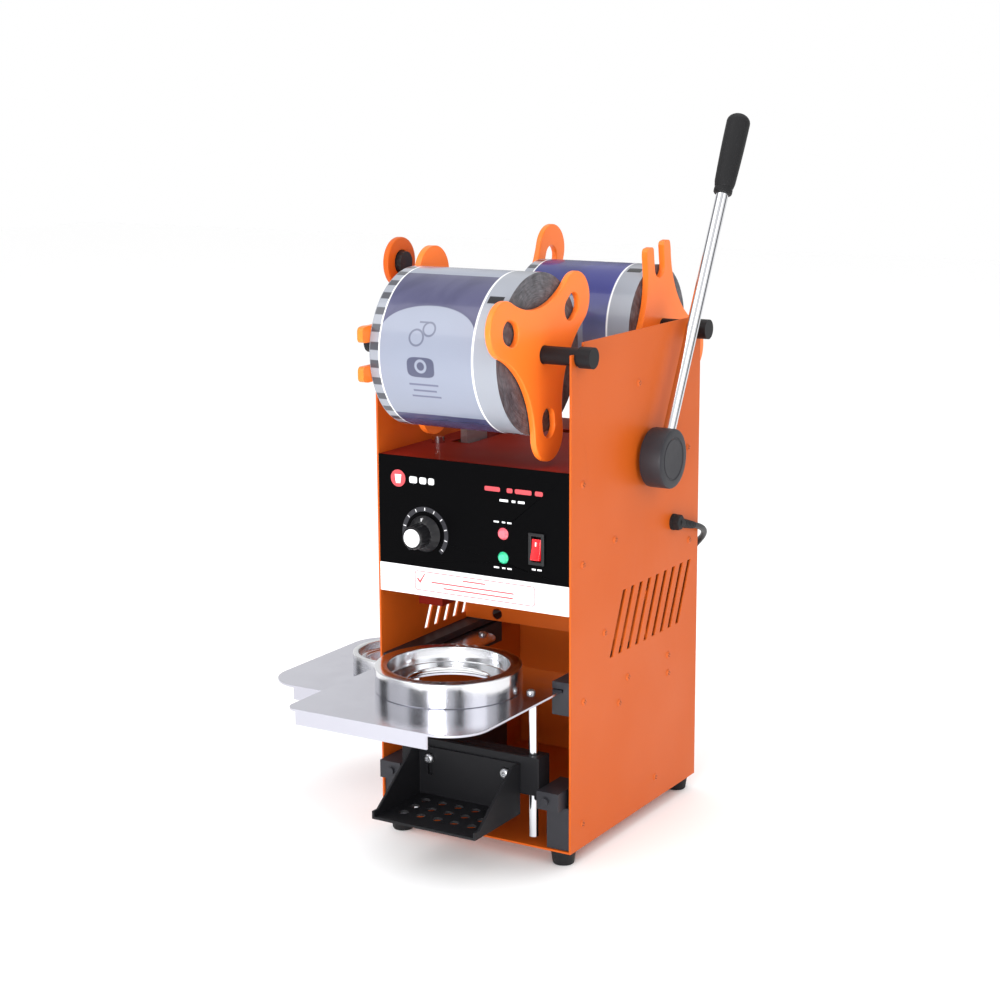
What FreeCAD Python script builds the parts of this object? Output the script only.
"""Cup sealing machine with a manual lever, as a parametric document. Sizes are in millimetres.

Frame: +X to the machine's right seen from its front, +Y to the back, +Z up. The origin is on the
surface that the rubber feet stand on, under the middle of the cabinet. The cup tray is drawn out
and the lever stands at its upper stop.
"""
import FreeCAD, Part
import math
import os
import re

import Sketcher
from FreeCAD import Placement, Rotation, Vector

SIZES = {
    # cabinet
    "body_width": (205, "cabinet, outside the side panels"),
    "body_depth": (258, "cabinet, front to back"),
    "foot_height": (14, "rubber foot"),
    "foot_radius": (12, "rubber foot at its top"),
    "foot_inset_x": (14.5, "foot axis from the panel's outer face"),
    "foot_inset_y": (13, "foot axis from the cabinet's front or back"),
    "panel_top": (479, "top edge of the side panels"),
    "sheet": (2, "painted steel sheet"),
    "floor_top": (366, "roll bay floor, upper face"),
    "floor_sheet": (1.5, "roll bay floor sheet"),
    "strip_bottom": (237, "lower edge of the white strip"),
    "strip_height": (27, "white strip"),
    "overlay": (2, "front plates over the steel front"),
    # vents and screws
    "vent_first_y": (-55, "lower end of the first slanted vent"),
    "vent_bottom": (181, "vents, lower end"),
    "vent_rise": (59, "vents, height"),
    "vent_lean": (26, "vents, how far the top end is set back"),
    "vent_width": (6.5, "vent slot"),
    "vent_pitch": (17, "vent spacing"),
    "vent_count": (9, "vents in a side panel"),
    "screw_radius": (3.6, "panel screw head"),
    "screw_height": (1.6, "panel screw head"),
    # controls
    "knob_x": (-50, "thermostat axis"),
    "knob_z": (296, "thermostat axis"),
    "knob_radius": (17, "knob skirt"),
    "knob_grip_radius": (11.5, "knob grip"),
    "knob_length": (22, "knob, front to back"),
    "knob_gap": (0.6, "between knob and front plate"),
    "spindle_radius": (3, "thermostat spindle"),
    "run_gap": (0.05, "radial running clearance"),
    "dial_radius": (25, "dial ring, outside"),
    "dial_width": (4.5, "dial ring, radial width"),
    "lamp_x": (33, "indicator lamps"),
    "lamp_high_z": (305, "red lamp"),
    "lamp_low_z": (283, "green lamp"),
    "lamp_radius": (4.5, "indicator lamp"),
    "switch_x": (68, "rocker switch"),
    "switch_z": (295, "rocker switch"),
    "switch_width": (13, "rocker switch opening"),
    "switch_height": (26, "rocker switch opening"),
    "rocker_pivot_radius": (1, "rocker, bore for its pivot"),
    # film rolls
    "shaft_y": (115.6, "roll shafts, from the middle of the cabinet"),
    "shaft_z": (467, "roll shafts"),
    "shaft_radius": (8, "roll shaft"),
    "shaft_overhang": (4, "shaft outside the panel, before its collar"),
    "collar_radius": (9.5, "end collar"),
    "collar_length": (11, "end collar"),
    "film_width": (130, "film roll"),
    "front_roll_radius": (72, "film roll at the front"),
    "rear_roll_radius": (60, "film roll at the back"),
    "core_radius": (38, "paper core, outside"),
    "core_wall": (4, "paper core"),
    "roll_shift": (-3, "middle of the rolls"),
    "flange_thick": (6, "star flange"),
    "lobe_distance": (72, "arm end centre from the flange axis"),
    "lobe_radius": (25, "arm end"),
    "waist_radius": (42, "flange between two arms"),
    "spigot_radius": (33.6, "boss that carries the core"),
    "spigot_length": (14, "boss that carries the core"),
    "arm_hole_long": (27, "oval hole along the arm"),
    "arm_hole_wide": (21, "oval hole across the arm"),
    "arm_hole_distance": (62, "oval hole from the flange axis"),
    "fork_reach": (81, "ends of an open arm's prongs, from the flange axis"),
    "fork_round": (4, "ends of an open arm's prongs"),
    # tension arm on the left panel
    "arm_eye_y": (-82, "tension arm, eye"),
    "arm_eye_z": (538, "tension arm, eye"),
    "arm_eye_radius": (23, "tension arm, eye outside"),
    "arm_knob_radius": (11, "tension knob"),
    "arm_thick": (6, "tension arm"),
    "arm_foot": (40, "tension arm's overlap on the side panel"),
    # lever and its cranks
    "lever_y": (20, "lever axis"),
    "lever_z": (357.5, "lever axis"),
    "lever_shaft_radius": (6, "cross shaft"),
    "bush_wall": (4, "cross shaft bushes, wall"),
    "bush_lip": (3, "cross shaft bushes, lip outside the panel"),
    "hub_radius": (28, "lever hub"),
    "hub_length": (22, "lever hub"),
    "hub_gap": (4, "hub to panel"),
    "lever_lean": (27, "lever leaning back at rest, degrees"),
    "lever_sweep": (70, "lever travel, degrees"),
    "rod_radius": (6, "lever rod"),
    "rod_end": (284, "lever rod, from the axis to its upper end"),
    "grip_start": (268, "grip, from the axis"),
    "grip_end": (347, "grip, from the axis"),
    "grip_radius": (11.5, "grip"),
    "head_travel": (56, "press travel"),
    "crank_thick": (8, "crank arm"),
    "crank_x": (66, "crank arm, inner face"),
    "roller_radius": (6, "crank roller"),
    "yoke_thick": (7, "yoke plate"),
    # press head
    "head_y": (-52, "press axis"),
    "head_bottom": (236, "sealing face at rest"),
    "heater_radius": (48, "heater block"),
    "heater_height": (18, "heater block"),
    "cutter_radius": (51, "cutter ring, outside"),
    "cutter_wall": (2, "cutter ring"),
    "cutter_height": (30, "cutter ring"),
    "insulator_radius": (38, "insulating disc"),
    "insulator_height": (10, "insulating disc"),
    "crosshead_bottom": (293.5, "cross head, lower face at rest"),
    "crosshead_height": (14, "cross head"),
    "post_inset": (16.5, "guide posts, in from the side panels"),
    "post_radius": (6, "guide posts"),
    "bush_radius": (11, "cross head bushes"),
    "bush_length": (26, "cross head bushes"),
    "bracket_top": (217, "post brackets, upper face"),
    "bracket_height": (8, "post brackets"),
    "spring_radius": (9.5, "return spring, outside"),
    # drawn-out tray
    "tray_top": (168, "tray plate, upper face"),
    "tray_sheet": (2, "tray plate"),
    "tray_inset": (7.5, "tray plate, in from the side panels"),
    "tray_front": (-292, "tray plate, front edge when drawn out"),
    "tray_back": (-80, "tray plate, back edge when drawn out"),
    "tray_lip": (14, "turned-down front edge"),
    "tray_corner": (38, "front right corner"),
    "tray_corner_small": (12, "front left corner"),
    "arm_width": (46, "tray plate's rear arm"),
    "arm_back": (4, "tray plate's rear arm, back end when drawn out"),
    "tray_travel": (118, "tray travel"),
    "ring_radius": (66.5, "cup ring, outside"),
    "ring_height": (22, "cup ring"),
    "ring_mouth": (55, "cup ring, upper bore"),
    "ring_ledge": (14, "cup ring, ledge under its top"),
    "cup_hole": (38, "cup ring, hole that holds the cup"),
    "ring_floor": (3.5, "cup ring, thickness under its ledge"),
    "ring_recess": (46, "cup ring and tray, opening under the ledge"),
    "rail_width": (18.5, "tray rail"),
    "rail_bottom": (144, "tray rail"),
    "rail_top": (175, "tray rail"),
    "rail_groove": (0.35, "tray edge to rail groove, each side"),
    "rail_back": (60, "tray rail, back end"),
    "guide_width": (24, "lower guide"),
    "guide_top": (57, "lower guide"),
    "slide_gap": (0.4, "between sliding faces"),
    # carriage and cup stage
    "carriage_rod_x": (63, "carriage rods"),
    "carriage_rod_y": (-127, "carriage rods when drawn out"),
    "carriage_rod_radius": (4.5, "carriage rods"),
    "carriage_rod_bottom": (25, "carriage rods, lower end"),
    "bar_inset": (26.5, "carriage bar, in from the side panels"),
    "bar_bottom": (67, "carriage bar"),
    "bar_height": (36, "carriage bar"),
    "bar_depth": (20, "carriage bar"),
    "shoe_height": (17, "slide shoes"),
    "stage_sheet": (2.5, "cup stage sheet"),
    "stage_half": (55, "cup stage, half width"),
    "stage_reach": (76, "cup stage, out from its back plate"),
    "stage_z": (50, "cup stage, upper face"),
    "stage_back_height": (46, "cup stage, back plate"),
    "stage_bolt_x": (41, "stage bolts"),
    "stage_bolt_z": (85, "stage bolts"),
    "stage_hole_radius": (4.5, "holes in the stage"),
    "stage_hole_pitch": (18, "holes in the stage"),
    # cross beam
    "beam_y": (20, "cross beam, front face"),
    "beam_bottom": (176, "cross beam, lower edge"),
    "beam_hole_x": (-64, "cross beam, round hole"),
    "beam_hole_up": (7.2, "round hole above the beam's lower edge"),
    "beam_hole_radius": (5.6, "cross beam, round hole"),
    "beam_height": (52, "cross beam"),
    "beam_flange": (18, "cross beam, folded edge"),
    # second cup tray on the left side
    "side_top": (120, "side tray, upper face"),
    "side_reach": (155, "side tray, out from the left panel"),
    "side_front": (-110, "side tray, front edge"),
    "side_back": (88, "side tray, back edge"),
    "side_corner": (38, "side tray, front corner"),
    "side_ring_radius": (49, "side tray's ring, outside"),
    "side_ring_out": (52, "side ring's axis from the left panel"),
    "side_ring_y": (-15, "side ring's axis"),
    "side_ring_height": (22, "side tray's ring"),
    "side_ring_ledge": (9, "side ring, ledge under its top"),
    "side_cup_hole": (37, "side ring, hole that holds the cup"),
    # mains cord
    "gland_y": (73, "cord gland"),
    "gland_z": (285, "cord gland"),
    "gland_radius": (8, "cord gland"),
    "gland_length": (9, "cord gland"),
    "cord_radius": (3, "mains cord"),
    "coil_mid_radius": (33, "stored coil, middle of its turns"),
    "coil_columns": (2, "turns side by side"),
    "coil_layers": (3, "turns on each other"),
}

PLACES = {
    "outer_x": "body_width / 2",
    "inner_x": "body_width / 2 - sheet",
    "half_depth": "body_depth / 2",
    "post_x": "inner_x - post_inset",
    "tray_half": "inner_x - tray_inset",
    "bar_half": "inner_x - bar_inset",
    "inner_y": "body_depth / 2 - sheet",
    "front_y": "-body_depth / 2",
    "steel_front_y": "-body_depth / 2 + overlay",
    "steel_back_y": "-body_depth / 2 + overlay + floor_sheet",
    "plate_top": "foot_height + sheet",
    "strip_top": "strip_bottom + strip_height",
    "floor_under": "floor_top - floor_sheet",
    "crank_length": "head_travel / (2 * sin(lever_sweep * 1deg / 2))",
    "pin_y": "lever_y - crank_length * cos(lever_sweep * 1deg / 2)",
    "pin_z": "lever_z + head_travel / 2",
    "pin_front_y": "lever_y - crank_length",
    "fork_end": "lobe_distance + lobe_radius + 3",
    "ring_y": "head_y - tray_travel",
    "ring_top": "tray_top + ring_height",
    "heater_top": "head_bottom + heater_height",
    "insulator_top": "head_bottom + heater_height + insulator_height",
    "crosshead_top": "crosshead_bottom + crosshead_height",
    "yoke_x": "crank_x - slide_gap - yoke_thick",
    "flange_left_x": "roll_shift - film_width / 2 - flange_thick - slide_gap",
    "flange_right_x": "roll_shift + film_width / 2 + slide_gap",
    "shaft_end_x": "outer_x + shaft_overhang",
    "side_ring_x": "-outer_x - side_ring_out",
    "stage_back_y": "carriage_rod_y - bar_depth / 2 - slide_gap - stage_sheet",
}

DOC = FreeCAD.newDocument("cup_sealing_machine")
SHEET = DOC.addObject("Spreadsheet::Sheet", "Sizes")
DERIVED = DOC.addObject("App::VarSet", "Places")
NODES = []
WORD = re.compile(r"\b[a-z][a-z_0-9]*\b")


def fill_sheet():
    """Write each driving size into the sheet, then bind the worked-out places to it."""
    for row, (alias, (value, meaning)) in enumerate(SIZES.items(), start=1):
        SHEET.set(f"A{row}", meaning)
        SHEET.set(f"B{row}", str(value))
        SHEET.setAlias(f"B{row}", alias)
    DOC.recompute()
    for name, rule in PLACES.items():
        DERIVED.addProperty("App::PropertyFloat", name, "Places")
        DERIVED.setExpression(name, bound(rule))
    DOC.recompute()


def bound(rule):
    """A rule in plain size names, as an expression on the sheet and the worked-out places."""
    def owner(match):
        word = match.group(0)
        if word in SIZES:
            return "Sizes." + word
        if word in PLACES:
            return "Places." + word
        return word
    return WORD.sub(owner, str(rule))


def size(name):
    """The number that a size or a place holds now."""
    return getattr(DERIVED if name in PLACES else SHEET, name)


def node(label, piece):
    """Keep a finished piece as one sub-part of the machine."""
    piece.Label = label
    NODES.append(piece)
    return piece


# ---- solids from primitives -------------------------------------------------------------------

TURN = {
    "X": Rotation(Vector(0, 1, 0), 90),
    "Y": Rotation(Vector(1, 0, 0), -90),
    "Z": Rotation(),
}


def place(piece, point):
    """Bind a piece's position to three rules."""
    for axis, rule in zip("xyz", point):
        piece.setExpression(f"Placement.Base.{axis}", bound(rule))


def box(name, across, along, up):
    """A block between a low and a high rule on each axis."""
    piece = DOC.addObject("Part::Box", name)
    for side, (low, high) in zip(("Length", "Width", "Height"), (across, along, up)):
        piece.setExpression(side, bound(f"({high}) - ({low})"))
    place(piece, (across[0], along[0], up[0]))
    return piece


def start_point(axis, low, centre):
    """The start of an axial piece: its low end on its own axis, its centre on the others."""
    others = iter(centre)
    return [low if letter == axis else next(others) for letter in "XYZ"]


def rod(name, axis, radius, span, centre):
    """A round bar along X, Y or Z; centre gives the other two places in XYZ order."""
    piece = DOC.addObject("Part::Cylinder", name)
    piece.setExpression("Radius", bound(radius))
    piece.setExpression("Height", bound(f"({span[1]}) - ({span[0]})"))
    piece.Placement = Placement(Vector(), TURN[axis])
    place(piece, start_point(axis, span[0], centre))
    return piece


def taper(name, axis, radii, span, centre):
    """A round bar whose radius changes evenly from its low end to its high end."""
    piece = DOC.addObject("Part::Cone", name)
    piece.setExpression("Radius1", bound(radii[0]))
    piece.setExpression("Radius2", bound(radii[1]))
    piece.setExpression("Height", bound(f"({span[1]}) - ({span[0]})"))
    piece.Placement = Placement(Vector(), TURN[axis])
    place(piece, start_point(axis, span[0], centre))
    return piece


def fused(name, pieces):
    """One solid of several that touch or overlap."""
    piece = DOC.addObject("Part::MultiFuse", name)
    piece.Shapes = pieces
    piece.Refine = True
    return piece


def together(name, pieces):
    """Separate solids of one kind kept in one sub-part."""
    piece = DOC.addObject("Part::Compound", name)
    piece.Links = pieces
    return piece


def less(name, base, tools):
    """A solid with one or more tools cut out of it."""
    tool = tools[0] if len(tools) == 1 else fused(name + "_tools", tools)
    piece = DOC.addObject("Part::Cut", name)
    piece.Base = base
    piece.Tool = tool
    piece.Refine = True
    return piece


def tube(name, axis, outer, inner, span, centre):
    """A round sleeve."""
    margin = (f"({span[0]}) - 1", f"({span[1]}) + 1")
    body = rod(name + "_outside", axis, outer, span, centre)
    bore = rod(name + "_bore", axis, inner, margin, centre)
    return less(name, body, [bore])


def rounded(name, base, radius, wanted):
    """Round the edges that the test wanted(edge) picks."""
    DOC.recompute()
    piece = DOC.addObject("Part::Fillet", name)
    piece.Base = base
    reach = size(radius)
    edges = enumerate(base.Shape.Edges, start=1)
    piece.Edges = [(number, reach, reach) for number, edge in edges if wanted(edge)]
    return piece


def upright(edge):
    """Straight edge along Z."""
    box_of_edge = edge.BoundBox
    return box_of_edge.ZLength > 0.5 and box_of_edge.XLength < 0.01 and box_of_edge.YLength < 0.01


# ---- solids from sketches ---------------------------------------------------------------------

def body_of(name):
    """An empty body for sketched features."""
    return DOC.addObject("PartDesign::Body", name)


def origin_part(body, role):
    """One of the body's own origin planes or axes."""
    return next(item for item in body.Origin.OriginFeatures if item.Role == role)


def sketch_in(body, name, role, offset="0"):
    """A sketch on one of the body's origin planes, moved along the plane's normal."""
    sketch = body.newObject("Sketcher::SketchObject", name)
    sketch.AttachmentSupport = [(origin_part(body, role), "")]
    sketch.MapMode = "FlatFace"
    sketch.setExpression("AttachmentOffset.Base.z", bound(offset))
    return sketch


def hold(sketch, kind, geometry, point, rule, label):
    """One driving dimension, drawn at its present value and then bound to a rule."""
    if kind == "Radius":
        constraint = Sketcher.Constraint(kind, geometry, sketch.Geometry[geometry].Radius)
    else:
        spot = sketch.getPoint(geometry, point)
        value = spot.x if kind == "DistanceX" else spot.y
        constraint = Sketcher.Constraint(kind, -1, 1, geometry, point, value)
    index = sketch.addConstraint(constraint)
    sketch.renameConstraint(index, label)
    sketch.setExpression("Constraints." + label, bound(rule))


def outline(sketch, corners):
    """A closed outline whose corners are each held at (across, up) from the sketch's origin."""
    count = len(corners)
    first = sketch.GeometryCount
    ring = [Vector(math.cos(turn), math.sin(turn), 0) * 20 for turn in
            (2 * math.pi * number / count for number in range(count))]
    for number in range(count):
        sketch.addGeometry(Part.LineSegment(ring[number], ring[(number + 1) % count]), False)
    for number in range(count):
        following = first + (number + 1) % count
        sketch.addConstraint(Sketcher.Constraint("Coincident", first + number, 2, following, 1))
    for number, (across, up) in enumerate(corners):
        tag = f"p{first + number}"
        hold(sketch, "DistanceX", first + number, 1, across, tag + "_across")
        hold(sketch, "DistanceY", first + number, 1, up, tag + "_up")


def circle(sketch, across, up, radius):
    """A circle held by its centre and radius."""
    index = sketch.addGeometry(Part.Circle(Vector(1, 1, 0), Vector(0, 0, 1), 5), False)
    hold(sketch, "DistanceX", index, 3, across, f"c{index}_across")
    hold(sketch, "DistanceY", index, 3, up, f"c{index}_up")
    hold(sketch, "Radius", index, 0, radius, f"c{index}_radius")


def pad(body, sketch, length):
    """Raise a sketch by a rule along its plane's normal."""
    feature = body.newObject("PartDesign::Pad", sketch.Name + "_pad")
    feature.Profile = sketch
    feature.setExpression("Length", bound(length))
    return feature


def pocket(body, sketch):
    """Cut a sketch right through, both ways; the volume shows that it cut."""
    DOC.recompute()
    before = body.Shape.Volume
    feature = body.newObject("PartDesign::Pocket", sketch.Name + "_pocket")
    feature.Profile = sketch
    feature.Type = "ThroughAll"
    feature.Midplane = True
    DOC.recompute()
    if body.Shape.Volume > before - 0.01:
        raise RuntimeError(f"{sketch.Name} cuts nothing")
    return feature


def repeat(body, feature, axis_role, pitch, count):
    """Repeat a feature in a row along an origin axis."""
    pattern = body.newObject("PartDesign::LinearPattern", feature.Name + "_row")
    pattern.Originals = [feature]
    pattern.Direction = (origin_part(body, axis_role), [""])
    pattern.setExpression("Length", bound(f"({pitch}) * (({count}) - 1)"))
    pattern.setExpression("Occurrences", bound(count))
    body.Tip = pattern
    return pattern


def fillet_of(body, radius, wanted):
    """Round the picked edges of a body."""
    DOC.recompute()
    base = body.Tip
    names = [f"Edge{number}" for number, edge in enumerate(base.Shape.Edges, start=1)
             if wanted(edge)]
    feature = body.newObject("PartDesign::Fillet", body.Name + "_fillet")
    feature.Base = (base, names)
    feature.setExpression("Radius", bound(radius))
    body.Tip = feature
    return feature


# ---- cabinet ----------------------------------------------------------------------------------

def side_panel(label, face_x):
    """Side panel with an open notch for each roll shaft, a bore for the lever shaft and vents."""
    body = body_of(label)
    sheet_sketch = sketch_in(body, label + "_sheet", "YZ_Plane", face_x)
    notch = "shaft_radius + run_gap"
    lip = "shaft_z + 3"
    outline(sheet_sketch, [
        ("-half_depth", "foot_height"), ("half_depth", "foot_height"),
        ("half_depth", lip), (f"shaft_y + {notch}", lip),
        (f"shaft_y + {notch}", "shaft_z"), (f"shaft_y - ({notch})", "shaft_z"),
        (f"shaft_y - ({notch})", "panel_top"), (f"-shaft_y + {notch}", "panel_top"),
        (f"-shaft_y + {notch}", "shaft_z"), (f"-shaft_y - ({notch})", "shaft_z"),
        (f"-shaft_y - ({notch})", lip), ("-half_depth", lip),
    ])
    pad(body, sheet_sketch, "sheet")
    for side, sign in (("front", "-"), ("rear", "")):
        round_end = sketch_in(body, f"{label}_{side}_notch", "YZ_Plane", face_x)
        circle(round_end, f"{sign}shaft_y", "shaft_z", notch)
        pocket(body, round_end)
    bore = sketch_in(body, label + "_bore", "YZ_Plane", face_x)
    circle(bore, "lever_y", "lever_z", "lever_shaft_radius + bush_wall")
    pocket(body, bore)
    vent = sketch_in(body, label + "_vent", "YZ_Plane", face_x)
    outline(vent, [
        ("vent_first_y", "vent_bottom"), ("vent_first_y + vent_width", "vent_bottom"),
        ("vent_first_y + vent_width + vent_lean", "vent_bottom + vent_rise"),
        ("vent_first_y + vent_lean", "vent_bottom + vent_rise"),
    ])
    cut = pocket(body, vent)
    repeat(body, cut, "Y_Axis", "vent_pitch", "vent_count")
    return node(label, body)


def back_panel():
    """Back panel, with a row of level vents high up."""
    body = body_of("back_panel")
    sheet_sketch = sketch_in(body, "back_sheet", "XZ_Plane", "-half_depth")
    outline(sheet_sketch, [
        ("-inner_x", "plate_top"), ("inner_x", "plate_top"),
        ("inner_x", "floor_top"), ("-inner_x", "floor_top"),
    ])
    pad(body, sheet_sketch, "sheet")
    vent = sketch_in(body, "back_vent", "XZ_Plane", "-half_depth")
    outline(vent, [
        ("-60", "vent_bottom + 60"), ("60", "vent_bottom + 60"),
        ("60", "vent_bottom + 60 + vent_width"), ("-60", "vent_bottom + 60 + vent_width"),
    ])
    cut = pocket(body, vent)
    repeat(body, cut, "Z_Axis", "vent_pitch", "5")
    return node("back_panel", body)


def bottom_plate():
    """Bottom plate between the side panels, with a raised front edge."""
    sheet_box = box("bottom_sheet", ("-inner_x", "inner_x"), ("-half_depth", "half_depth"),
                    ("foot_height", "plate_top"))
    return node("bottom_plate", sheet_box)


def rubber_feet():
    """Four feet, each a short cone with its wide end under the bottom plate."""
    feet = []
    for side, x_rule in (("left", "-outer_x + foot_inset_x"), ("right", "outer_x - foot_inset_x")):
        for end, y_rule in (("front", "-half_depth + foot_inset_y"),
                            ("rear", "half_depth - foot_inset_y")):
            feet.append(taper(f"foot_{side}_{end}", "Z", ("foot_radius - 2", "foot_radius"),
                              ("0", "foot_height"), (x_rule, y_rule)))
    return node("rubber_feet", together("rubber_feet", feet))


def roll_bay_floor():
    """Floor of the roll bay, cut out for the cranks and for the film."""
    sheet_box = box("bay_sheet", ("-inner_x", "inner_x"), ("steel_back_y", "inner_y"),
                    ("floor_under", "floor_top"))
    through = ("floor_under - 1", "floor_top + 1")
    cuts = []
    reach = ("pin_front_y - roller_radius - 8", "lever_y + 16")
    for side, span in (("left", ("-crank_x - crank_thick - 3", "-yoke_x + 3")),
                       ("right", ("yoke_x - 3", "crank_x + crank_thick + 3"))):
        cuts.append(box(f"bay_{side}_crank_cut", span, reach, through))
    film = ("roll_shift - film_width / 2 - 4", "roll_shift + film_width / 2 + 4")
    cuts.append(box("bay_rear_film_cut", film, ("lever_y + 34", "lever_y + 50"), through))
    for side, sign in (("left", "-"), ("right", "")):
        cuts.append(rod(f"bay_{side}_post_cut", "Z", "post_radius + run_gap", through,
                        (f"{sign}post_x", "head_y")))
    return node("roll_bay_floor", less("roll_bay_floor", sheet_box, cuts))


def front_holes(prefix):
    """Tools for the openings of the knob spindle, the lamps and the switch."""
    through = ("front_y - 1", "steel_back_y + 1")
    tools = [rod(prefix + "_spindle_hole", "Y", "spindle_radius + 1", through,
                 ("knob_x", "knob_z"))]
    for lamp in ("high", "low"):
        tools.append(rod(f"{prefix}_lamp_{lamp}_hole", "Y", "lamp_radius", through,
                         ("lamp_x", f"lamp_{lamp}_z")))
    half_wide = "switch_width / 2"
    half_high = "switch_height / 2"
    tools.append(box(prefix + "_switch_hole",
                     (f"switch_x - {half_wide}", f"switch_x + {half_wide}"), through,
                     (f"switch_z - {half_high}", f"switch_z + {half_high}")))
    return tools


def front_plates():
    """Steel front between the panels, with the black control plate and the white strip on it."""
    across = ("-inner_x", "inner_x")
    steel = box("steel_sheet", across, ("steel_front_y", "steel_back_y"),
                ("strip_bottom", "floor_top"))
    node("steel_front", less("steel_front", steel, front_holes("steel")))
    black = box("control_sheet", across, ("front_y", "steel_front_y"), ("strip_top", "floor_top"))
    node("control_plate", less("control_plate", black, front_holes("control")))
    node("white_strip", box("white_strip", across, ("front_y", "steel_front_y"),
                            ("strip_bottom", "strip_top")))


def panel_screws():
    """Low domed screw heads on both side panels, in mirrored places."""
    places = [
        ("-half_depth + 21.4", "floor_top - 13"), ("half_depth - 25", "floor_top - 13"),
        ("-half_depth + 22", "strip_top + 16"), ("-46", "strip_top + 27"),
        ("half_depth - 20", "strip_top - 4"), ("-1", "panel_top - 49.4"),
        ("-half_depth + 24.6", "rail_top - 22.5"), ("-18.5", "rail_top - 21.4"),
        ("-36", "rail_bottom - 11"), ("-65", "bracket_top - 9.5"),
        ("65.6", "rail_top - 21.1"), ("66", "rail_bottom - 8.4"),
        ("-half_depth + 22", "guide_top - 20"), ("40", "guide_top - 20"),
    ]
    heads = []
    for number, (along, up) in enumerate(places):
        heads.append(taper(f"screw_right_{number}", "X", ("screw_radius", "screw_radius * 0.62"),
                           ("outer_x", "outer_x + screw_height"), (along, up)))
        heads.append(taper(f"screw_left_{number}", "X", ("screw_radius * 0.62", "screw_radius"),
                           ("-outer_x - screw_height", "-outer_x"), (along, up)))
    return node("panel_screws", together("panel_screws", heads))


def cross_beam():
    """Folded beam between the side panels behind the press, with one round hole."""
    face = box("beam_face", ("-inner_x", "inner_x"), ("beam_y", "beam_y + sheet"),
               ("beam_bottom", "beam_bottom + beam_height"))
    fold = box("beam_fold", ("-inner_x", "inner_x"), ("beam_y", "beam_y + beam_flange"),
               ("beam_bottom + beam_height - sheet", "beam_bottom + beam_height"))
    hole = rod("beam_hole", "Y", "beam_hole_radius", ("beam_y - 1", "beam_y + sheet + 1"),
               ("beam_hole_x", "beam_bottom + beam_hole_up"))
    return node("cross_beam", less("cross_beam", fused("beam_body", [face, fold]), [hole]))


# ---- controls ---------------------------------------------------------------------------------

def thermostat():
    """Thermostat behind the front with its spindle, the knob on it, its cap and the dial ring."""
    case_rod = rod("thermostat_case", "Y", "knob_radius", ("steel_back_y", "steel_back_y + 14"),
                   ("knob_x", "knob_z"))
    spindle = rod("thermostat_spindle", "Y", "spindle_radius",
                  ("front_y - knob_gap - 14", "steel_back_y + 1"), ("knob_x", "knob_z"))
    node("thermostat_body", fused("thermostat_body", [case_rod, spindle]))

    front = "front_y - knob_gap - knob_length"
    back = "front_y - knob_gap"
    skirt = taper("knob_skirt", "Y", ("knob_grip_radius + 1", "knob_radius"),
                  (f"{back} - 7", back), ("knob_x", "knob_z"))
    grip = rod("knob_grip", "Y", "knob_grip_radius", (front, f"{back} - 6"), ("knob_x", "knob_z"))
    bore = rod("knob_bore", "Y", "spindle_radius + run_gap",
               ("front_y - knob_gap - 15", "front_y"), ("knob_x", "knob_z"))
    recess = rod("knob_recess", "Y", "knob_grip_radius - 3", (f"{front} - 1", f"{front} + 2"),
                 ("knob_x", "knob_z"))
    knob = less("thermostat_knob", fused("knob_body", [skirt, grip]), [bore, recess])
    node("thermostat_knob", knob)
    node("knob_cap", rod("knob_cap", "Y", "knob_grip_radius - 3", (f"{front} - 1", f"{front} + 2"),
                         ("knob_x", "knob_z")))
    node("dial_ring", tube("dial_ring", "Y", "dial_radius", "dial_radius - dial_width",
                           ("front_y - 0.5", "front_y"), ("knob_x", "knob_z")))


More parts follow.
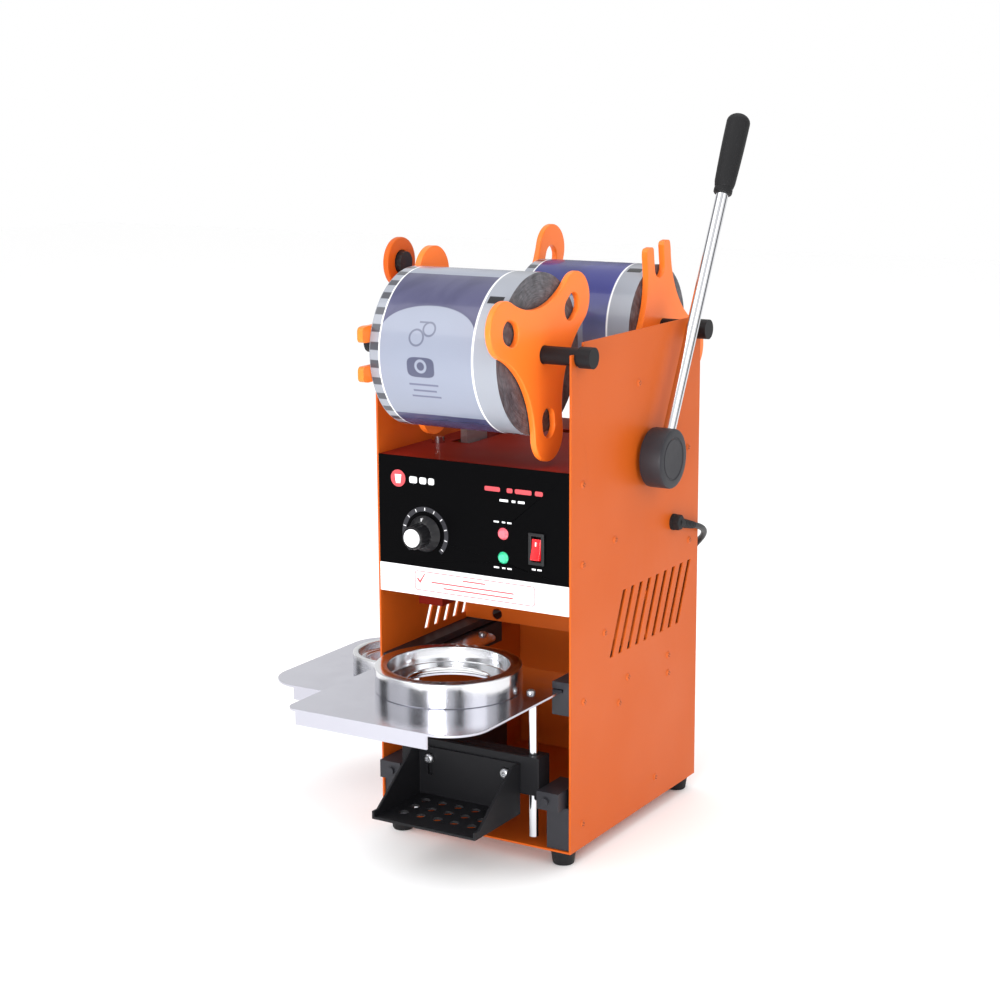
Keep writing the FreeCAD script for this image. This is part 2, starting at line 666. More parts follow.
def lamps_and_switch():
    """Two lamps pushed through the front, and the rocker switch in its frame."""
    for label, height in (("red_lamp", "lamp_high_z"), ("green_lamp", "lamp_low_z")):
        stem = rod(label + "_stem", "Y", "lamp_radius", ("front_y", "steel_back_y + 12"),
                   ("lamp_x", height))
        lens = taper(label + "_lens", "Y", ("lamp_radius - 1", "lamp_radius + 1"),
                     ("front_y - 2.5", "front_y"), ("lamp_x", height))
        node(label, fused(label, [stem, lens]))
    half_wide = "switch_width / 2"
    half_high = "switch_height / 2"
    frame = box("switch_rim",
                (f"switch_x - {half_wide} - 1.5", f"switch_x + {half_wide} + 1.5"),
                ("front_y - 2", "front_y"),
                (f"switch_z - {half_high} - 1.5", f"switch_z + {half_high} + 1.5"))
    case_box = box("switch_case", (f"switch_x - {half_wide}", f"switch_x + {half_wide}"),
                   ("front_y - 1", "steel_back_y + 14"),
                   (f"switch_z - {half_high}", f"switch_z + {half_high}"))
    hollow = box("switch_hollow",
                 (f"switch_x - {half_wide} + 1.5", f"switch_x + {half_wide} - 1.5"),
                 ("front_y - 3", "steel_back_y + 4"),
                 (f"switch_z - {half_high} + 1.5", f"switch_z + {half_high} - 1.5"))
    node("switch_frame", less("switch_frame", fused("switch_shell", [frame, case_box]), [hollow]))

    body = body_of("switch_rocker")
    side = sketch_in(body, "rocker_side", "YZ_Plane", f"switch_x - {half_wide} + 1.9")
    outline(side, [
        ("front_y - 1.2", f"switch_z + {half_high} - 3.6"), ("front_y - 2.2", "switch_z"),
        ("front_y - 5.2", f"switch_z - {half_high} + 3.6"),
        ("front_y - 1.2", f"switch_z - {half_high} + 2.6"),
        ("front_y + 5", "switch_z - 4"), ("front_y + 5", "switch_z + 4"),
    ])
    pad(body, side, "switch_width - 3.8")
    pivot = sketch_in(body, "rocker_pivot", "YZ_Plane", f"switch_x - {half_wide} + 1.9")
    circle(pivot, "front_y + 3", "switch_z", "rocker_pivot_radius")
    pocket(body, pivot)
    node("switch_rocker", body)


# ---- film rolls -------------------------------------------------------------------------------

def star_flange(label, low_x, sign, tilt, open_arm, spigot_side):
    """Three-armed flange on a roll shaft. One arm's oval hole may be open at the arm's end.

    tilt is the first arm's angle from straight up towards the back, in degrees.
    """
    body = body_of(label + "_plate")
    axis_y = f"{sign}shaft_y"
    sketch = sketch_in(body, label + "_star", "YZ_Plane", low_x)
    arms = [math.radians(90 - tilt - 120 * number) for number in range(3)]
    distance = size("lobe_distance")
    lobe = size("lobe_radius")
    waist = size("waist_radius")
    hollow_at = (distance ** 2 - (lobe - waist) ** 2) / (distance + 2 * lobe - 2 * waist)
    hollow = hollow_at - waist
    centre = Vector(size("shaft_y") * (-1 if sign == "-" else 1), size("shaft_z"), 0)

    def polar(reach, turn):
        return centre + Vector(math.cos(turn), math.sin(turn), 0) * reach

    half = math.radians(60)
    normal = Vector(0, 0, 1)
    for turn in arms:
        tip = polar(distance, turn)
        leaving = []
        for side in (-1, 1):
            toward = polar(hollow_at, turn + side * half) - tip
            leaving.append(math.atan2(toward.y, toward.x))
        ends = leaving if leaving[1] > leaving[0] else [leaving[0], leaving[1] + 2 * math.pi]
        sketch.addGeometry(Part.ArcOfCircle(Part.Circle(tip, normal, lobe), *ends), False)
    for number, turn in enumerate(arms):
        dip = polar(hollow_at, turn - half)
        to_this = polar(distance, turn) - dip
        to_next = polar(distance, arms[(number + 1) % 3]) - dip
        start = math.atan2(to_this.y, to_this.x)
        end = math.atan2(to_next.y, to_next.x)
        end = end if end > start else end + 2 * math.pi
        sketch.addGeometry(Part.ArcOfCircle(Part.Circle(dip, normal, hollow), start, end), False)
    for number in range(3):
        dip = 3 + number
        following = (number + 1) % 3
        sketch.addConstraint(Sketcher.Constraint("Tangent", dip, 1, number, 1))
        sketch.addConstraint(Sketcher.Constraint("Tangent", dip, 2, following, 2))
    for number in range(3):
        turn = f"{90 - tilt - 120 * number} * 1deg"
        tag = f"arm{number}"
        hold(sketch, "DistanceX", number, 3, f"{axis_y} + lobe_distance * cos({turn})",
             tag + "_across")
        hold(sketch, "DistanceY", number, 3, f"shaft_z + lobe_distance * sin({turn})",
             tag + "_up")
        hold(sketch, "Radius", number, 0, "lobe_radius", tag + "_radius")
        radius = "(lobe_distance ^ 2 - (lobe_radius - waist_radius) ^ 2)"
        radius += " / (lobe_distance + 2 * lobe_radius - 2 * waist_radius) - waist_radius"
        hold(sketch, "Radius", 3 + number, 0, radius, f"dip{number}_radius")
    pad(body, sketch, "flange_thick")
    for number, turn in enumerate(arms):
        hole = sketch_in(body, f"{label}_hole{number}", "YZ_Plane", low_x)
        reach = size("lobe_distance") + size("lobe_radius") + 3 if number == open_arm else None
        oval(hole, centre, turn, 90 - tilt - 120 * number, axis_y, reach)
        pocket(body, hole)
        if number == open_arm:
            shorten_fork(body, label, low_x, axis_y, 90 - tilt - 120 * number)
    bore = sketch_in(body, label + "_bore", "YZ_Plane", low_x)
    circle(bore, axis_y, "shaft_z", "shaft_radius + run_gap")
    pocket(body, bore)
    boss_span = (f"{low_x} + flange_thick", f"{low_x} + flange_thick + spigot_length")
    if spigot_side < 0:
        boss_span = (f"{low_x} - spigot_length", low_x)
    boss = tube(label + "_boss", "X", "spigot_radius", "shaft_radius + run_gap", boss_span,
                (axis_y, "shaft_z"))
    return node(label, fused(label, [body, boss]))


def shorten_fork(body, label, low_x, axis_y, degrees_up):
    """Cut the two prongs of an open arm short and round their ends."""
    cosine = f"cos({degrees_up} * 1deg)"
    sine = f"sin({degrees_up} * 1deg)"
    corners = []
    for reach, side in (("fork_reach", -1), ("fork_end", -1), ("fork_end", 1), ("fork_reach", 1)):
        aside = f"({side} * lobe_radius * 1.2)"
        corners.append((f"{axis_y} + {reach} * {cosine} - {aside} * {sine}",
                        f"shaft_z + {reach} * {sine} + {aside} * {cosine}"))
    cut = sketch_in(body, label + "_fork", "YZ_Plane", low_x)
    outline(cut, corners)
    pocket(body, cut)
    turn = math.radians(degrees_up)
    middle_y = size("shaft_y") * (-1 if axis_y.startswith("-") else 1)

    def at_tip(edge):
        spot = edge.BoundBox.Center
        along = (spot.y - middle_y) * math.cos(turn) + (spot.z - size("shaft_z")) * math.sin(turn)
        flat = edge.BoundBox.YLength < 0.01 and edge.BoundBox.ZLength < 0.01
        return flat and abs(along - size("fork_reach")) < 0.1
    fillet_of(body, "fork_round", at_tip)


def oval(sketch, centre, turn, degrees_up, axis_y, open_reach):
    """An oval hole along an arm, or a notch that runs out past the arm's end."""
    wide = size("arm_hole_wide") / 2
    inner = "arm_hole_distance - (arm_hole_long - arm_hole_wide) / 2"
    outer = "arm_hole_distance + (arm_hole_long - arm_hole_wide) / 2"
    if open_reach:
        outer = "lobe_distance + lobe_radius + arm_hole_wide"
    along = Vector(math.cos(turn), math.sin(turn), 0)
    half_long = (size("arm_hole_long") - size("arm_hole_wide")) / 2
    near = centre + along * (size("arm_hole_distance") - half_long)
    far = centre + along * (size("arm_hole_distance") + half_long)
    if open_reach:
        far = centre + along * (open_reach + 2 * wide - 3)
    side = Vector(-along.y, along.x, 0) * wide
    normal = Vector(0, 0, 1)
    sketch.addGeometry(Part.ArcOfCircle(Part.Circle(near, normal, wide), turn + math.pi / 2,
                                        turn + 3 * math.pi / 2), False)
    sketch.addGeometry(Part.LineSegment(near - side, far - side), False)
    sketch.addGeometry(Part.ArcOfCircle(Part.Circle(far, normal, wide), turn - math.pi / 2,
                                        turn + math.pi / 2), False)
    sketch.addGeometry(Part.LineSegment(far + side, near + side), False)
    for first, first_end, second, second_end in ((0, 2, 1, 1), (1, 2, 2, 1), (2, 2, 3, 1),
                                                 (3, 2, 0, 1)):
        sketch.addConstraint(Sketcher.Constraint("Tangent", first, first_end, second, second_end))
    for index, reach in ((0, inner), (2, outer)):
        angle = f"{degrees_up} * 1deg"
        hold(sketch, "DistanceX", index, 3, f"{axis_y} + ({reach}) * cos({angle})",
             f"end{index}_across")
        hold(sketch, "DistanceY", index, 3, f"shaft_z + ({reach}) * sin({angle})",
             f"end{index}_up")
    hold(sketch, "Radius", 0, 0, "arm_hole_wide / 2", "end_radius")


def film_set(prefix, sign, roll_radius, left_arm, right_arm):
    """A shaft in its notches, two star flanges and the film roll between them."""
    axis = (f"{sign}shaft_y", "shaft_z")
    bar = rod(prefix + "_bar", "X", "shaft_radius", ("-shaft_end_x", "shaft_end_x"), axis)
    right = rod(prefix + "_right_collar", "X", "collar_radius",
                ("shaft_end_x - 2", "shaft_end_x + collar_length"), axis)
    left = rod(prefix + "_left_collar", "X", "collar_radius",
               ("-shaft_end_x - collar_length", "-shaft_end_x + 2"), axis)
    node(prefix + "_shaft", fused(prefix + "_shaft", [bar, right, left]))
    star_flange(prefix + "_left_flange", "flange_left_x", sign, *left_arm, 1)
    star_flange(prefix + "_right_flange", "flange_right_x", sign, *right_arm, -1)
    span = ("roll_shift - film_width / 2", "roll_shift + film_width / 2")
    node(prefix + "_film_roll", tube(prefix + "_film_roll", "X", roll_radius,
                                     "core_radius - core_wall", span, axis))


def tension_arm():
    """Upright arm on the left panel, with a black knob in its eye beside the front roll."""
    span = ("-outer_x - arm_thick", "-outer_x")
    eye = rod("arm_eye", "X", "arm_eye_radius", span, ("arm_eye_y", "arm_eye_z"))
    stem = box("arm_stem", span,
               ("arm_eye_y - arm_eye_radius * 0.6", "arm_eye_y + arm_eye_radius * 0.6"),
               ("panel_top - arm_foot", "arm_eye_z"))
    hole = rod("arm_hole", "X", "arm_knob_radius", ("-outer_x - arm_thick - 1", "-outer_x + 1"),
               ("arm_eye_y", "arm_eye_z"))
    node("tension_arm", less("tension_arm", fused("arm_body", [eye, stem]), [hole]))
    node("tension_knob", rod("tension_knob", "X", "arm_knob_radius",
                             ("-outer_x - arm_thick - 6", "-outer_x + 5"),
                             ("arm_eye_y", "arm_eye_z")))


# ---- lever, cranks and press head -------------------------------------------------------------

def lever():
    """Hub, rod and grip outside the right panel, on the cross shaft."""
    axis = ("lever_y", "lever_z")
    hub_start = "outer_x + hub_gap"
    hub_end = "outer_x + hub_gap + hub_length"
    disc = rod("hub_disc", "X", "hub_radius", (hub_start, hub_end), axis)
    bore = rod("hub_bore", "X", "lever_shaft_radius", (f"{hub_start} - 1", f"{hub_end} - 6"), axis)
    rod_x = "outer_x + hub_gap + hub_length / 2"
    socket = leaning("hub_socket", "rod_radius", rod_x, "hub_radius - 14", "hub_radius + 1")
    node("lever_hub", less("lever_hub", disc, [bore, socket]))
    node("lever_rod", leaning("lever_rod", "rod_radius", rod_x, "hub_radius - 14", "rod_end"))
    grip = leaning("grip_bar", "grip_radius", rod_x, "grip_start", "grip_end")
    grip_bore = leaning("grip_bore", "rod_radius", rod_x, "grip_start - 1", "rod_end")
    solid = rounded("grip_round", grip, "rod_radius",
                    lambda edge: isinstance(edge.Curve, Part.Circle))
    node("lever_grip", less("lever_grip", solid, [grip_bore]))
    node("lever_shaft", rod("lever_shaft", "X", "lever_shaft_radius",
                            ("-outer_x - 6", f"{hub_end} - 6"), axis))


def leaning(name, radius, x_rule, start, end):
    """A round bar in the lever's own direction, between two distances from the lever axis."""
    piece = DOC.addObject("Part::Cylinder", name)
    piece.setExpression("Radius", bound(radius))
    piece.setExpression("Height", bound(f"({end}) - ({start})"))
    lean = -size("lever_lean")
    piece.Placement = Placement(Vector(), Rotation(Vector(1, 0, 0), lean))
    place(piece, (x_rule, f"lever_y + ({start}) * sin(lever_lean * 1deg)",
                  f"lever_z + ({start}) * cos(lever_lean * 1deg)"))
    return piece


def shaft_bushes():
    """A flanged bearing in each side panel for the cross shaft."""
    axis = ("lever_y", "lever_z")
    bushes = []
    for side, length, lip_at in (
            ("left", ("-outer_x - bush_lip", "-inner_x"), ("-outer_x - bush_lip", "-outer_x")),
            ("right", ("inner_x", "outer_x + bush_lip"), ("outer_x", "outer_x + bush_lip"))):
        sleeve = rod(f"{side}_bush_sleeve", "X", "lever_shaft_radius + bush_wall", length, axis)
        lip = rod(f"{side}_bush_lip", "X", "lever_shaft_radius + 2 * bush_wall", lip_at, axis)
        bore = rod(f"{side}_bush_bore", "X", "lever_shaft_radius + run_gap",
                   (f"{length[0]} - 1", f"{length[1]} + 1"), axis)
        bushes.append(less(f"{side}_bush", fused(f"{side}_bush_body", [sleeve, lip]), [bore]))
    return node("shaft_bushes", together("shaft_bushes", bushes))


def cranks():
    """Crank arms on the cross shaft; each carries a roller that works in the cross head's yoke."""
    arms = []
    for side, arm_span, pin_span in (
            ("left", ("-crank_x - crank_thick", "-crank_x"), ("-crank_x - 1", "-yoke_x")),
            ("right", ("crank_x", "crank_x + crank_thick"), ("yoke_x", "crank_x + 1"))):
        boss = rod(f"{side}_crank_boss", "X", "lever_shaft_radius + 5", arm_span,
                   ("lever_y", "lever_z"))
        eye = rod(f"{side}_crank_eye", "X", "roller_radius + 1.5", arm_span, ("pin_y", "pin_z"))
        web = crank_web(f"{side}_crank_web", arm_span)
        roller = rod(f"{side}_crank_roller", "X", "roller_radius", pin_span, ("pin_y", "pin_z"))
        shaft_hole = rod(f"{side}_crank_bore", "X", "lever_shaft_radius",
                         (f"{arm_span[0]} - 1", f"{arm_span[1]} + 1"), ("lever_y", "lever_z"))
        arms.append(less(f"{side}_crank", fused(f"{side}_crank_body", [boss, eye, web, roller]),
                         [shaft_hole]))
    return node("crank_arms", together("crank_arms", arms))


def crank_web(name, span):
    """Flat bar from the crank's boss to its eye."""
    piece = DOC.addObject("Part::Box", name)
    piece.setExpression("Length", bound(f"({span[1]}) - ({span[0]})"))
    piece.setExpression("Width", bound("crank_length"))
    piece.setExpression("Height", bound("2 * roller_radius"))
    turn = 180 - size("lever_sweep") / 2
    piece.Placement = Placement(Vector(), Rotation(Vector(1, 0, 0), turn))
    half = "lever_sweep * 1deg / 2"
    place(piece, (span[0], f"lever_y + roller_radius * sin({half})",
                  f"lever_z + roller_radius * cos({half})"))
    return piece


def press_head():
    """Cross head on the guide posts, with insulator, heater block and cutter ring under it."""
    up = ("crosshead_bottom", "crosshead_top")
    bar = box("crosshead_bar", ("-post_x", "post_x"), ("head_y - 16", "head_y + 16"), up)
    arm_back = "pin_y + roller_radius + 9"
    plates = [bar]
    bores = []
    for side, sign in (("left", "-"), ("right", "")):
        spans = (f"{sign}post_x", "head_y")
        bush_up = ("crosshead_bottom - 6", "crosshead_bottom - 6 + bush_length")
        plates.append(rod(f"{side}_head_bush", "Z", "bush_radius", bush_up, spans))
        margin = ("crosshead_bottom - 8", "crosshead_bottom + bush_length")
        bores.append(rod(f"{side}_head_bore", "Z", "post_radius + run_gap", margin, spans))
        span = ("yoke_x", "yoke_x + yoke_thick")
        if side == "left":
            span = ("-yoke_x - yoke_thick", "-yoke_x")
        plates.append(box(f"{side}_yoke_foot", span, ("head_y + 10", arm_back), up))
        plates.append(box(f"{side}_yoke", span, ("pin_front_y - roller_radius - 7", arm_back),
                          ("crosshead_bottom", "pin_z + roller_radius + 8")))
        wide = (f"{span[0]} - 1", f"{span[1]} + 1")
        play = "roller_radius + 1"
        bores.append(box(f"{side}_yoke_slot", wide,
                         (f"pin_front_y - ({play})", f"pin_y + {play}"),
                         (f"pin_z - ({play})", f"pin_z + {play}")))
    column = rod("head_column", "Z", "14", ("insulator_top", "crosshead_bottom + 1"),
                 ("0", "head_y"))
    plates.append(column)
    node("cross_head", less("cross_head", fused("cross_head_body", plates), bores))
    node("insulator_disc", rod("insulator_disc", "Z", "insulator_radius",
                               ("heater_top", "insulator_top"), ("0", "head_y")))
    node("heater_block", rod("heater_block", "Z", "heater_radius", ("head_bottom", "heater_top"),
                             ("0", "head_y")))
    ring = tube("cutter_wall", "Z", "cutter_radius", "cutter_radius - cutter_wall",
                ("head_bottom + 1", "head_bottom + 1 + cutter_height"), ("0", "head_y"))
    spoke = box("cutter_spoke_bar", ("-cutter_radius + 1", "cutter_radius - 1"),
                ("head_y - 6", "head_y + 6"),
                ("insulator_top", "head_bottom + 1 + cutter_height"))
    hole = rod("cutter_spoke_hole", "Z", "14", ("insulator_top - 1", "insulator_top + 9"),
               ("0", "head_y"))
    node("cutter_ring", fused("cutter_ring", [ring, less("cutter_spoke", spoke, [hole])]))


def posts_and_springs():
    """Guide posts on brackets, with a return spring under each bush of the cross head."""
    posts = []
    brackets = []
    springs = []
    for side, sign in (("left", "-"), ("right", "")):
        centre = (f"{sign}post_x", "head_y")
        posts.append(rod(f"{side}_post", "Z", "post_radius",
                         ("bracket_top - bracket_height + 2", "floor_top + 6"), centre))
        span = ("post_x - 10", "inner_x") if side == "right" else ("-inner_x", "-post_x + 10")
        block = box(f"{side}_bracket_block", span, ("head_y - 12", "head_y + 12"),
                    ("bracket_top - bracket_height", "bracket_top"))
        seat = rod(f"{side}_bracket_seat", "Z", "post_radius",
                   ("bracket_top - bracket_height + 2", "bracket_top + 1"), centre)
        brackets.append(less(f"{side}_bracket", block, [seat]))
        springs.append(tube(f"{side}_spring", "Z", "spring_radius",
                            "post_radius + 0.5",
                            ("bracket_top", "crosshead_bottom - 6"), centre))
    node("guide_posts", together("guide_posts", posts))
    node("post_brackets", together("post_brackets", brackets))
    node("return_springs", together("return_springs", springs))


# ---- tray, carriage and cup stage -------------------------------------------------------------

def tray_plate():
    """Sliding steel plate with a turned-down front edge, one long rear arm and the cup hole."""
    body = body_of("tray_blank")
    flat = sketch_in(body, "tray_flat", "XY_Plane", "tray_top - tray_sheet")
    outline(flat, [
        ("-tray_half", "tray_front"), ("tray_half", "tray_front"), ("tray_half", "tray_back"),
        ("-tray_half + arm_width", "tray_back"), ("-tray_half + arm_width", "arm_back"),
        ("-tray_half", "arm_back"),
    ])
    pad(body, flat, "tray_sheet")
    hole = sketch_in(body, "tray_hole", "XY_Plane", "tray_top - tray_sheet")
    circle(hole, "0", "ring_y", "ring_recess")
    pocket(body, hole)
    front = size("tray_front")
    half = size("tray_half")

    def corner(edge, side):
        spot = edge.BoundBox.Center
        return upright(edge) and abs(spot.y - front) < 0.1 and abs(spot.x - side * half) < 0.1

    fillet_of(body, "tray_corner", lambda edge: corner(edge, 1))
    fillet_of(body, "tray_corner_small", lambda edge: corner(edge, -1))
    fillet_of(body, "arm_width * 0.45", lambda edge: upright(edge) and
              abs(edge.BoundBox.Center.y - size("arm_back")) < 0.1)
    lip_sheet = box("tray_lip", ("-tray_half + tray_corner_small", "tray_half - tray_corner"),
                    ("tray_front", "tray_front + tray_sheet"),
                    ("tray_top - tray_lip", "tray_top - tray_sheet / 2"))
    return node("tray_plate", fused("tray_plate", [body, lip_sheet]))


def ring_solid(label, outer, mouth, hole, low, height, ledge, centre):
    """Turned ring: a wide mouth over a ledge, and the hole that the cup's wall goes down."""
    top = f"{low} + {height}"
    blank = rod(label + "_blank", "Z", outer, (low, top), centre)
    wide = rod(label + "_mouth", "Z", mouth, (f"{top} - ({ledge})", f"{top} + 1"), centre)
    narrow = rod(label + "_hole", "Z", hole, (f"{low} - 1", f"{top} + 1"), centre)
    return less(label, blank, [wide, narrow])


def cup_tray():
    """Everything that slides with the tray."""
    tray_plate()
    centre = ("0", "ring_y")
    ring = ring_solid("cup_ring_body", "ring_radius", "ring_mouth", "cup_hole", "tray_top",
                      "ring_height", "ring_ledge", centre)
    recess = rod("cup_ring_recess", "Z", "ring_recess",
                 ("tray_top - 1", "ring_top - ring_ledge - ring_floor"), centre)
    node("cup_ring", less("cup_ring", ring, [recess]))
    screws = []
    spots = [("ring_radius + 6", "ring_y + 22"), ("-ring_radius - 6", "ring_y + 22"),
             ("-tray_half + arm_width * 0.6", "arm_back - 9")]
    for number, spot in enumerate(spots):
        screws.append(rod(f"tray_screw_{number}", "Z", "4", ("tray_top", "tray_top + 3"), spot))
    node("tray_screws", together("tray_screws", screws))

    rods = [rod(f"{side}_carriage_rod", "Z", "carriage_rod_radius",
                ("carriage_rod_bottom", "tray_top - tray_sheet"),
                (f"{sign}carriage_rod_x", "carriage_rod_y"))
            for side, sign in (("left", "-"), ("right", ""))]
    node("carriage_rods", together("carriage_rods", rods))

    along = ("carriage_rod_y - bar_depth / 2", "carriage_rod_y + bar_depth / 2")
    bar = box("bar_block", ("-bar_half", "bar_half"), along,
              ("bar_bottom", "bar_bottom + bar_height"))
    holes = [rod(f"{side}_bar_hole", "Z", "carriage_rod_radius",
                 ("bar_bottom - 1", "bar_bottom + bar_height + 1"),
                 (f"{sign}carriage_rod_x", "carriage_rod_y"))
             for side, sign in (("left", "-"), ("right", ""))]
    node("carriage_bar", less("carriage_bar", bar, holes))

    shoes = []
    low = "guide_top + slide_gap"
    for side, span, bolt in (("left", ("-inner_x + 4", "-bar_half"), "-inner_x + 17"),
                             ("right", ("bar_half", "inner_x - 4"), "inner_x - 17")):
        pad_block = box(f"{side}_shoe_block", span, ("carriage_rod_y - 14", "carriage_rod_y + 30"),
                        (low, f"{low} + shoe_height"))
        head = rod(f"{side}_shoe_bolt", "Y", "3.5", ("carriage_rod_y - 17", "carriage_rod_y - 13"),
                   (bolt, f"{low} + shoe_height / 2"))
        shoes.append(fused(f"{side}_shoe", [pad_block, head]))
    node("slide_shoes", together("slide_shoes", shoes))


def tray_rails():
    """Grooved rails for the tray plate and plain guides under the carriage, on both panels."""
    gap = "rail_groove"
    along = ("-half_depth + 2", "rail_back")
    for side in ("left", "right"):
        span = ("inner_x - rail_width", "inner_x") if side == "right" else (
            "-inner_x", "-inner_x + rail_width")
        groove = ("inner_x - rail_width - 1", f"tray_half + {gap}")
        if side == "left":
            groove = (f"-tray_half - {gap}", "-inner_x + rail_width + 1")
        bar = box(f"{side}_rail_bar", span, along, ("rail_bottom", "rail_top"))
        slot = box(f"{side}_rail_slot", groove, ("-half_depth", "rail_back + 1"),
                   (f"tray_top - tray_sheet - {gap}", f"tray_top + {gap}"))
        node(f"{side}_tray_rail", less(f"{side}_tray_rail", bar, [slot]))
        span = ("inner_x - guide_width", "inner_x") if side == "right" else (
            "-inner_x", "-inner_x + guide_width")
        node(f"{side}_lower_guide", box(f"{side}_lower_guide", span, along,
                                        ("plate_top", "guide_top")))


def cup_stage():
    """Folded black stage that the cup's foot stands over, on two bolts in upright slots."""
    back = ("stage_back_y", "stage_back_y + stage_sheet")
    top = "stage_z + stage_back_height"
    plate = box("stage_back", ("-stage_half", "stage_half"), back, ("stage_z - stage_sheet", top))
    reach = ("stage_back_y - stage_reach", "stage_back_y + 1")
    deck = box("stage_deck", ("-stage_half", "stage_half"), reach,
               ("stage_z - stage_sheet", "stage_z"))
    gussets = []
    for side, face in (("left", "-stage_half"), ("right", "stage_half - stage_sheet")):
        body = body_of(f"{side}_gusset")
        shape = sketch_in(body, f"{side}_gusset_side", "YZ_Plane", face)
        outline(shape, [
            ("stage_back_y - stage_reach", "stage_z - stage_sheet"),
            ("stage_back_y", "stage_z - stage_sheet"), ("stage_back_y", top),
            ("stage_back_y - 12", top), ("stage_back_y - stage_reach * 0.9", "stage_z + 5"),
            ("stage_back_y - stage_reach", "stage_z + 5"),
        ])
        pad(body, shape, "stage_sheet")
        gussets.append(body)
    holes = []
    for row in range(3):
        for column in range(-2, 3):
            holes.append(rod(f"stage_hole_{row}_{column + 2}", "Z", "stage_hole_radius",
                             ("stage_z - stage_sheet - 1", "stage_z + 1"),
                             (f"{column} * stage_hole_pitch",
                              f"stage_back_y - 16 - {row} * stage_hole_pitch")))
    for side, sign in (("left", "-"), ("right", "")):
        holes.append(box(f"{side}_stage_slot", (f"{sign}stage_bolt_x - 2.6", f"{sign}stage_bolt_x + 2.6"),
                         ("stage_back_y - 1", "stage_back_y + stage_sheet + 1"),
                         ("stage_bolt_z - 16", "stage_bolt_z + 5")))
    node("cup_stage", less("cup_stage", fused("stage_body", [plate, deck, *gussets]), holes))
    bolts = []
    for side, sign in (("left", "-"), ("right", "")):
        spot = (f"{sign}stage_bolt_x", "stage_bolt_z")
        head = rod(f"{side}_stage_head", "Y", "5", ("stage_back_y - 4.4", "stage_back_y - slide_gap"), spot)
        shank = rod(f"{side}_stage_shank", "Y", "2.2",
                    ("stage_back_y - 1", "stage_back_y + stage_sheet + slide_gap"), spot)
        bolts.append(fused(f"{side}_stage_bolt", [head, shank]))
    node("stage_bolts", together("stage_bolts", bolts))


# ---- side tray --------------------------------------------------------------------------------

def side_tray():
    """Second tray for narrower cups, fixed to the left panel by its turned-up edge."""
    body = body_of("side_blank")
    flat = sketch_in(body, "side_flat", "XY_Plane", "side_top - tray_sheet")
    outline(flat, [
        ("-outer_x - side_reach", "side_front"), ("-outer_x", "side_front"),
        ("-outer_x", "side_back"), ("-outer_x - side_reach", "side_back"),
    ])
    pad(body, flat, "tray_sheet")
    hole = sketch_in(body, "side_hole", "XY_Plane", "side_top - tray_sheet")
    circle(hole, "side_ring_x", "side_ring_y", "side_cup_hole")
    pocket(body, hole)
    far_x = size("outer_x") + size("side_reach")
    fillet_of(body, "side_corner", lambda edge: upright(edge) and
              abs(edge.BoundBox.Center.x + far_x) < 0.1)
    lip = box("side_lip", ("-outer_x - side_reach", "-outer_x - side_reach + tray_sheet"),
              ("side_front + side_corner", "side_back - side_corner"),
              ("side_top - tray_lip", "side_top - tray_sheet / 2"))
    front_lip = box("side_front_lip", ("-outer_x - side_reach + side_corner", "-outer_x"),
                    ("side_front", "side_front + tray_sheet"),
                    ("side_top - tray_lip", "side_top - tray_sheet / 2"))
    mount = box("side_mount", ("-outer_x - tray_sheet", "-outer_x"), ("side_front + 20", "side_back"),
                ("side_top - 26", "side_top - tray_sheet / 2"))
    node("side_tray_plate", fused("side_tray_plate", [body, lip, front_lip, mount]))
    node("side_cup_ring", ring_solid(
        "side_cup_ring", "side_ring_radius", "side_ring_radius - 6", "side_cup_hole", "side_top",
        "side_ring_height", "side_ring_ledge", ("side_ring_x", "side_ring_y")))


# ---- mains cord -------------------------------------------------------------------------------

COIL_CENTRE = ("-50", "half_depth + 66")
PLUG_START_X = -24.0


def cord_route():
    """Corners of the cord's route, from the end of the relief round the back to the coil."""
    side = size("outer_x")
    back = size("half_depth")
    return [
        Vector(side + 5, size("gland_y") + 34.8, size("gland_z") - 9.3),
        Vector(side + 6.5, back + 17, 266),
        Vector(72, back + 41, 232),
        Vector(45, back + 43, 175),
        Vector(30, back + 34, 115),
        Vector(13, back + 28, 57),
        Vector(-6, back + 28, 13),
        Vector(-50, back + 30, 9),
    ]


def cord_gland():
    """Gland nut on the right panel with its tapered relief along the panel, towards the back."""
    nut = rod("gland_nut", "X", "gland_radius", ("outer_x", "outer_x + gland_length"),
              ("gland_y", "gland_z"))
    start = Vector(size("outer_x") + 5, size("gland_y"), size("gland_z"))
    end = cord_route()[0]
    along = end - start
    relief = DOC.addObject("Part::Cone", "gland_relief")
    relief.Radius1 = 5
    relief.setExpression("Radius2", bound("cord_radius + 0.6"))
    relief.Height = along.Length
    relief.Placement = Placement(start, Rotation(Vector(0, 0, 1), along))
    node("cord_gland", fused("cord_gland", [nut, relief]))


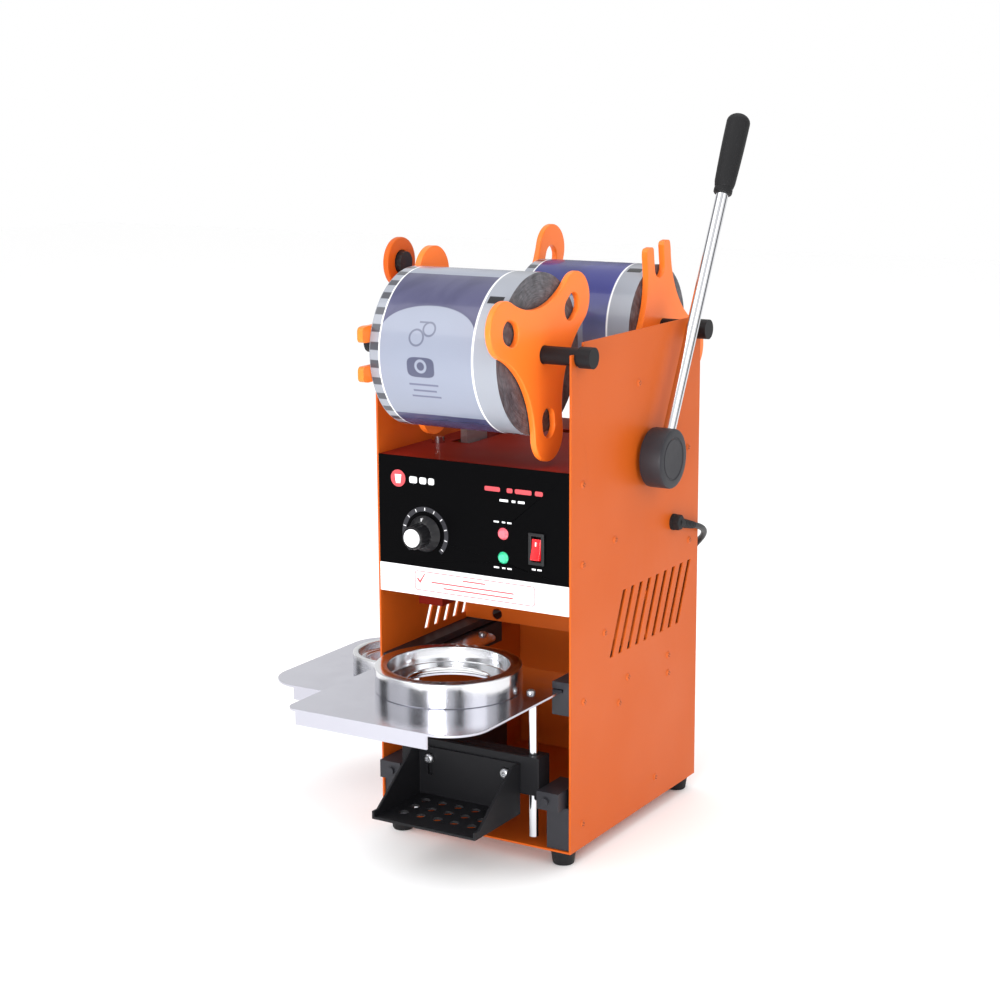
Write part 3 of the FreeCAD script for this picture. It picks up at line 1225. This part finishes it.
def cord_tube():
    """The cord from the relief down to the coil: straight runs joined by tangent arcs."""
    points = cord_route()
    edges = []
    last = points[0]
    for before, here, after in zip(points, points[1:], points[2:]):
        arriving = (here - before).normalize()
        leaving = (after - here).normalize()
        turn = arriving.getAngle(leaving)
        reach = 0.45 * min(before.distanceToPoint(here), here.distanceToPoint(after))
        print(f"cord arc radius {reach / math.tan(turn / 2):.1f}")
        start = here - arriving * reach
        end = here + leaving * reach
        bisector = (leaving - arriving).normalize()
        radius = reach / math.tan(turn / 2)
        centre = here + bisector * (radius / math.cos(turn / 2))
        middle = centre + (here - centre).normalize() * radius
        edges.append(Part.LineSegment(last, start).toShape())
        edges.append(Part.Arc(start, middle, end).toShape())
        last = end
    edges.append(Part.LineSegment(last, points[-1]).toShape())
    path = Part.Wire(edges)
    radius = size("cord_radius")
    first = (points[1] - points[0]).normalize()
    section = Part.Wire([Part.Circle(points[0], first, radius).toShape()])
    solid = path.makePipeShell([section], True, False)
    expected = math.pi * radius ** 2 * path.Length
    print(f"cord tube {path.Length:.0f} mm, volume {solid.Volume / expected:.3f} of its section")
    piece = DOC.addObject("Part::Feature", "cord_tube")
    piece.Shape = solid
    return node("cord_tube", piece)


def cord_coil():
    """The stored length: one ring of the coil's outer shape, with the short end to the plug."""
    half = "coil_columns * cord_radius"
    tall = "coil_layers * 2 * cord_radius"
    ring = tube("coil_ring", "Z", f"coil_mid_radius + {half}", f"coil_mid_radius - {half}",
                ("0", tall), COIL_CENTRE)
    tail_y = f"{COIL_CENTRE[1]} + coil_mid_radius"
    tail = rod("coil_tail", "X", "cord_radius", (COIL_CENTRE[0], str(PLUG_START_X)),
               (tail_y, "coil_layers * cord_radius"))
    return node("cord_coil", fused("cord_coil", [ring, tail]))


def mains_plug():
    """Two-pin plug lying beside the coil."""
    axis = (f"{COIL_CENTRE[1]} + coil_mid_radius", "coil_layers * cord_radius")
    start = PLUG_START_X
    relief = taper("plug_relief", "X", ("cord_radius + 0.5", "5"), (f"{start}", f"{start} + 15"), axis)
    shell = taper("plug_shell", "X", ("6", "8.8"), (f"{start} + 14", f"{start} + 36"), axis)
    pins = [rod(f"plug_{side}_pin", "X", "2.2", (f"{start} + 35", f"{start} + 54"),
                (f"{axis[0]} {sign} 5", axis[1])) for side, sign in (("left", "-"), ("right", "+"))]
    return node("mains_plug", fused("mains_plug", [relief, shell, *pins]))


# ---- the machine ------------------------------------------------------------------------------

def build():
    """Make every sub-part."""
    side_panel("left_side_panel", "-outer_x")
    side_panel("right_side_panel", "inner_x")
    back_panel()
    bottom_plate()
    rubber_feet()
    roll_bay_floor()
    front_plates()
    panel_screws()
    cross_beam()
    thermostat()
    lamps_and_switch()
    film_set("front", "-", "front_roll_radius", (30, 2), (-67, -1))
    film_set("rear", "", "rear_roll_radius", (20, -1), (-8, 0))
    tension_arm()
    lever()
    shaft_bushes()
    cranks()
    press_head()
    posts_and_springs()
    cup_tray()
    tray_rails()
    cup_stage()
    side_tray()
    cord_gland()
    cord_tube()
    cord_coil()
    mains_plug()
    DOC.recompute()


def check():
    """Stop if any object failed or any sub-part has no valid shape."""
    failed = [item.Name for item in DOC.Objects
              if "Invalid" in item.State or "Error" in item.State]
    failed += [item.Label for item in NODES if item.Shape.isNull() or not item.Shape.isValid()]
    if failed:
        raise RuntimeError(f"failed objects: {failed}")


def write():
    """Write one file for each sub-part."""
    os.makedirs("parts", exist_ok=True)
    for item in NODES:
        item.Shape.exportStep(os.path.join("parts", item.Label + ".step"))
    print(f"{len(NODES)} sub-parts")


fill_sheet()
build()
check()
write()
